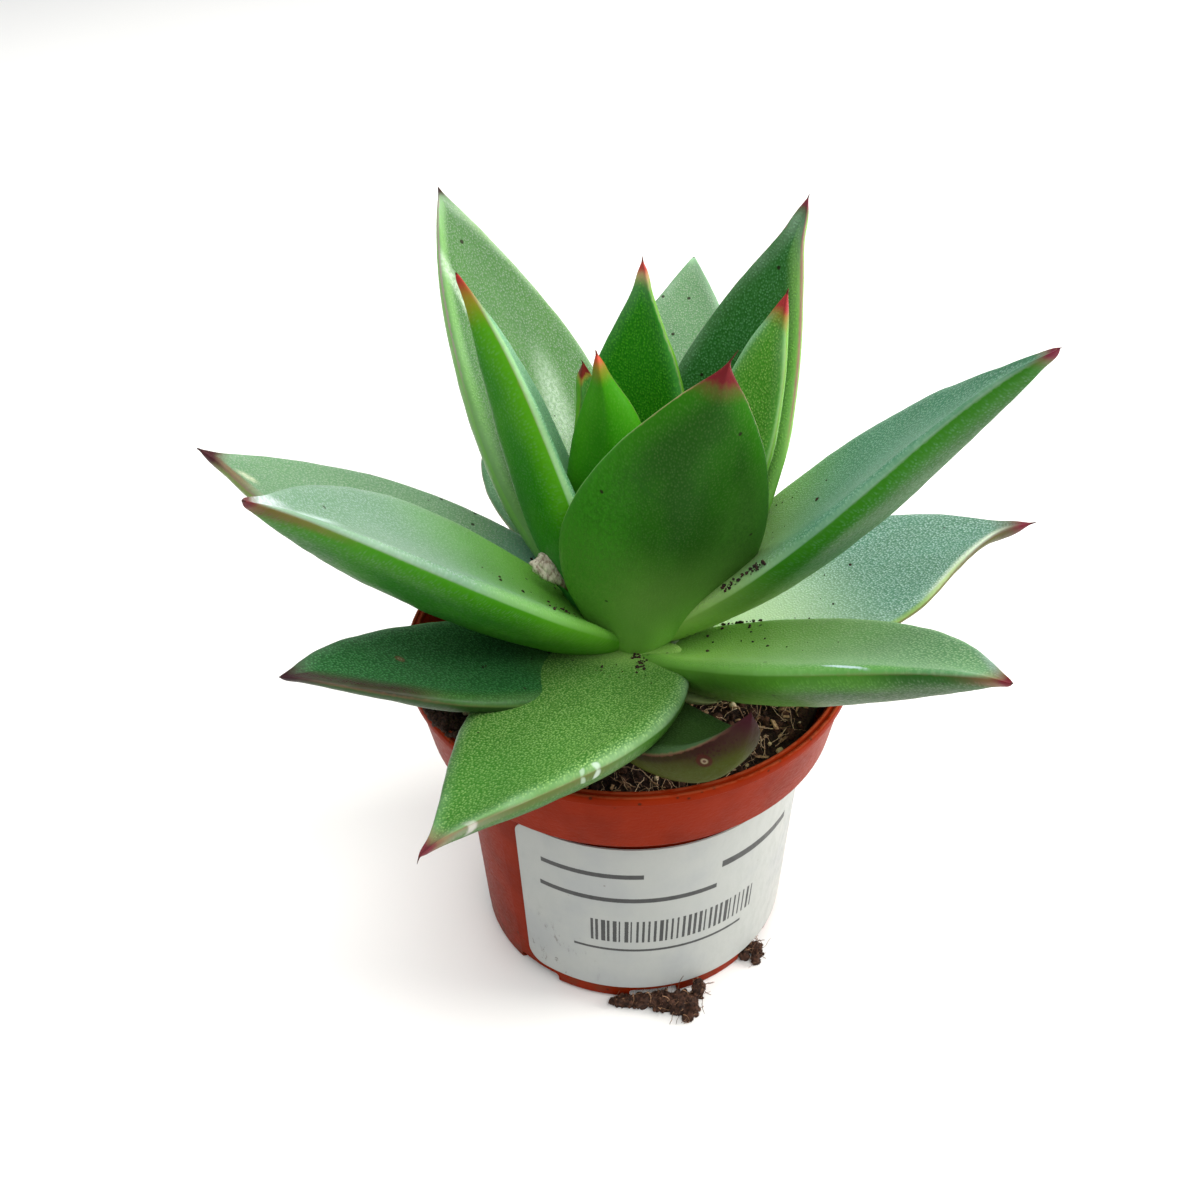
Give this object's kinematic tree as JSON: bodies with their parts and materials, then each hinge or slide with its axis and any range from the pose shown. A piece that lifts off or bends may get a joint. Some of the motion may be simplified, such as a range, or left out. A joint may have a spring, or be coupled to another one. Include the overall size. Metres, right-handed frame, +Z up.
{
  "type": "potted succulent",
  "caption": "Young rosette succulent with thick pointed leaves and dark red tips, growing in a small round plastic nursery pot with a stepped collar and a plain paper label.",
  "frame": {"origin": "centre of the pot's foot, on the pot's axis, at the ground", "axes": "+Z up along the pot's axis; -Y towards the side the label's front half and the broad upright leaf face; +X to the viewer's right"},
  "size_m": [0.1056, 0.101, 0.1074],
  "materials": {
    "pot_plastic": "satin",
    "soil": "rough",
    "stem": "rough",
    "label_paper": "satin",
    "leaf": "satin",
    "heart_leaf": "satin",
    "old_leaf": "satin",
    "dry_leaf": "rough"
  },
  "bodies": {
    "root": {"pot": "pot_plastic", "soil": "soil", "stem": "stem", "label": "label_paper", "leaf_stub_front": "old_leaf", "leaf_small_front": "old_leaf", "leaf_low_left": "leaf", "leaf_low_front": "leaf", "leaf_flat_right": "leaf", "leaf_far_left": "leaf", "leaf_front_right": "leaf", "leaf_low_back": "leaf", "leaf_low_back_right": "leaf", "leaf_back": "leaf", "leaf_front_left": "leaf", "leaf_long_right": "leaf", "leaf_tall_back_left": "leaf", "leaf_tall_back_right": "leaf", "leaf_front_upright": "leaf", "leaf_inner_left": "heart_leaf", "leaf_inner_right": "heart_leaf", "leaf_inner_back": "heart_leaf", "leaf_heart_left": "heart_leaf", "leaf_heart_front": "heart_leaf", "leaf_heart_right": "heart_leaf", "leaf_bud": "heart_leaf", "dry_stub": "dry_leaf", "clod_front": "soil", "clod_right": "soil"}
  },
  "joints": []
}
